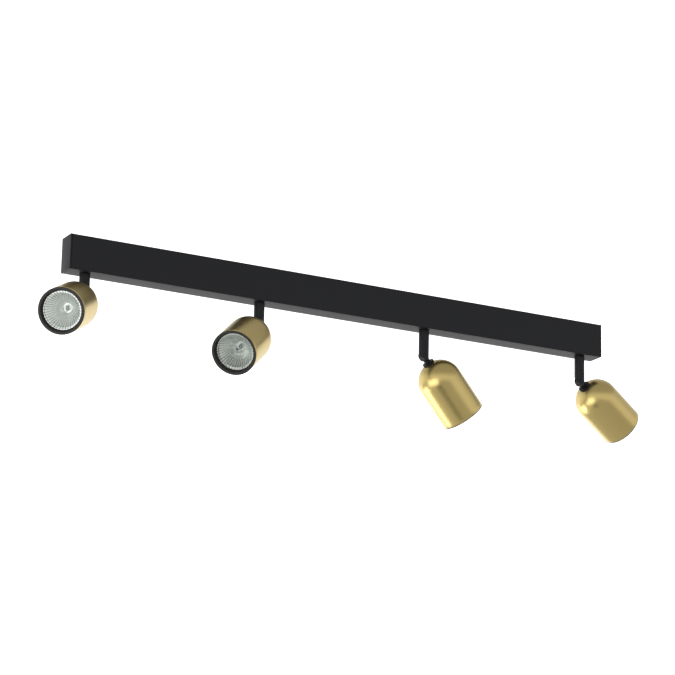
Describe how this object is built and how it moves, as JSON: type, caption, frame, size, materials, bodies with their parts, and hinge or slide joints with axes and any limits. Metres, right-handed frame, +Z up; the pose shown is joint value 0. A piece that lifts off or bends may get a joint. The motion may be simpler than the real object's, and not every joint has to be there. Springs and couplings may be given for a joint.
{
  "type": "ceiling spotlight bar",
  "caption": "Straight black ceiling bar with short stems that swivel and domed satin brass reflector-lamp spots that tilt on half-lap knuckles.",
  "frame": {"origin": "centre of the face that meets the ceiling, on the bracket's flat web", "axes": "+X along the bar, +Z up into the ceiling, -Y the front; the spots hang towards -Z"},
  "size_m": [0.9292, 0.1459, 0.1747],
  "materials": {
    "black_coat": "fine-texture matt black powder coat on steel",
    "satin_brass": "satin brushed brass",
    "zinc_steel": "bright zinc plate",
    "black_plastic": "soft black rubber",
    "black_baffle": "satin black heat-proof plastic",
    "white_nylon": "natural nylon",
    "ceramic": "unglazed steatite",
    "silvered_glass": "aluminised pressed glass with radial flutes",
    "clear_glass": "clear glass",
    "brown_insulation": "silicone insulation",
    "blue_insulation": "silicone insulation",
    "green_insulation": "green and yellow silicone insulation"
  },
  "bodies": {
    "bar": {"bar_channel": "black_coat", "end_cap_left": "black_coat", "end_cap_right": "black_coat", "ceiling_bracket": "zinc_steel", "fixing_screw_left": "black_coat", "fixing_screw_right": "black_coat", "earth_screw": "zinc_steel", "cable_grommet": "black_plastic", "terminal_block": "white_nylon", "live_wire": "brown_insulation", "neutral_wire": "blue_insulation", "earth_wire": "green_insulation"},
    "swivel_1": {"stem_1": "black_coat", "stem_nut_1": "zinc_steel"},
    "spot_1": {"knuckle_1": "black_coat", "pivot_screw_1": "zinc_steel", "knuckle_nut_1": "zinc_steel", "casing_1": "satin_brass", "baffle_ring_1": "black_baffle", "holder_bracket_1": "zinc_steel", "lamp_holder_1": "ceramic", "lamp_reflector_1": "silvered_glass", "lamp_lens_1": "clear_glass", "lamp_capsule_1": "clear_glass"},
    "swivel_2": {"stem_2": "black_coat", "stem_nut_2": "zinc_steel"},
    "spot_2": {"knuckle_2": "black_coat", "pivot_screw_2": "zinc_steel", "knuckle_nut_2": "zinc_steel", "casing_2": "satin_brass", "baffle_ring_2": "black_baffle", "holder_bracket_2": "zinc_steel", "lamp_holder_2": "ceramic", "lamp_reflector_2": "silvered_glass", "lamp_lens_2": "clear_glass", "lamp_capsule_2": "clear_glass"},
    "swivel_3": {"stem_3": "black_coat", "stem_nut_3": "zinc_steel"},
    "spot_3": {"knuckle_3": "black_coat", "pivot_screw_3": "zinc_steel", "knuckle_nut_3": "zinc_steel", "casing_3": "satin_brass", "baffle_ring_3": "black_baffle", "holder_bracket_3": "zinc_steel", "lamp_holder_3": "ceramic", "lamp_reflector_3": "silvered_glass", "lamp_lens_3": "clear_glass", "lamp_capsule_3": "clear_glass"},
    "swivel_4": {"stem_4": "black_coat", "stem_nut_4": "zinc_steel"},
    "spot_4": {"knuckle_4": "black_coat", "pivot_screw_4": "zinc_steel", "knuckle_nut_4": "zinc_steel", "casing_4": "satin_brass", "baffle_ring_4": "black_baffle", "holder_bracket_4": "zinc_steel", "lamp_holder_4": "ceramic", "lamp_reflector_4": "silvered_glass", "lamp_lens_4": "clear_glass", "lamp_capsule_4": "clear_glass"}
  },
  "joints": [
    {"name": "pan_1", "type": "hinge", "parent": "bar", "child": "swivel_1", "pos_m": [-0.37275, 0, -0.0465], "axis": [0, 0, 1], "range_deg": [-135.5, 214.5]},
    {"name": "tilt_1", "type": "hinge", "parent": "swivel_1", "child": "spot_1", "pos_m": [-0.37275, 0, -0.082], "axis": [-0.7716, 0.6361, 0], "range_deg": [-66.5, 23.5]},
    {"name": "pan_2", "type": "hinge", "parent": "bar", "child": "swivel_2", "pos_m": [-0.12425, 0, -0.0465], "axis": [0, 0, 1], "range_deg": [-127.5, 222.5]},
    {"name": "tilt_2", "type": "hinge", "parent": "swivel_2", "child": "spot_2", "pos_m": [-0.12425, 0, -0.082], "axis": [-0.6756, 0.7373, 0], "range_deg": [-57, 33]},
    {"name": "pan_3", "type": "hinge", "parent": "bar", "child": "swivel_3", "pos_m": [0.12425, 0, -0.0465], "axis": [0, 0, 1], "range_deg": [-274.5, 75.5]},
    {"name": "tilt_3", "type": "hinge", "parent": "swivel_3", "child": "spot_3", "pos_m": [0.12425, 0, -0.082], "axis": [0.165, -0.9863, 0], "range_deg": [-44.5, 45.5]},
    {"name": "pan_4", "type": "hinge", "parent": "bar", "child": "swivel_4", "pos_m": [0.37275, 0, -0.0465], "axis": [0, 0, 1], "range_deg": [-281.5, 68.5]},
    {"name": "tilt_4", "type": "hinge", "parent": "swivel_4", "child": "spot_4", "pos_m": [0.37275, 0, -0.082], "axis": [0.284, -0.9588, 0], "range_deg": [-61.5, 28.5]}
  ]
}
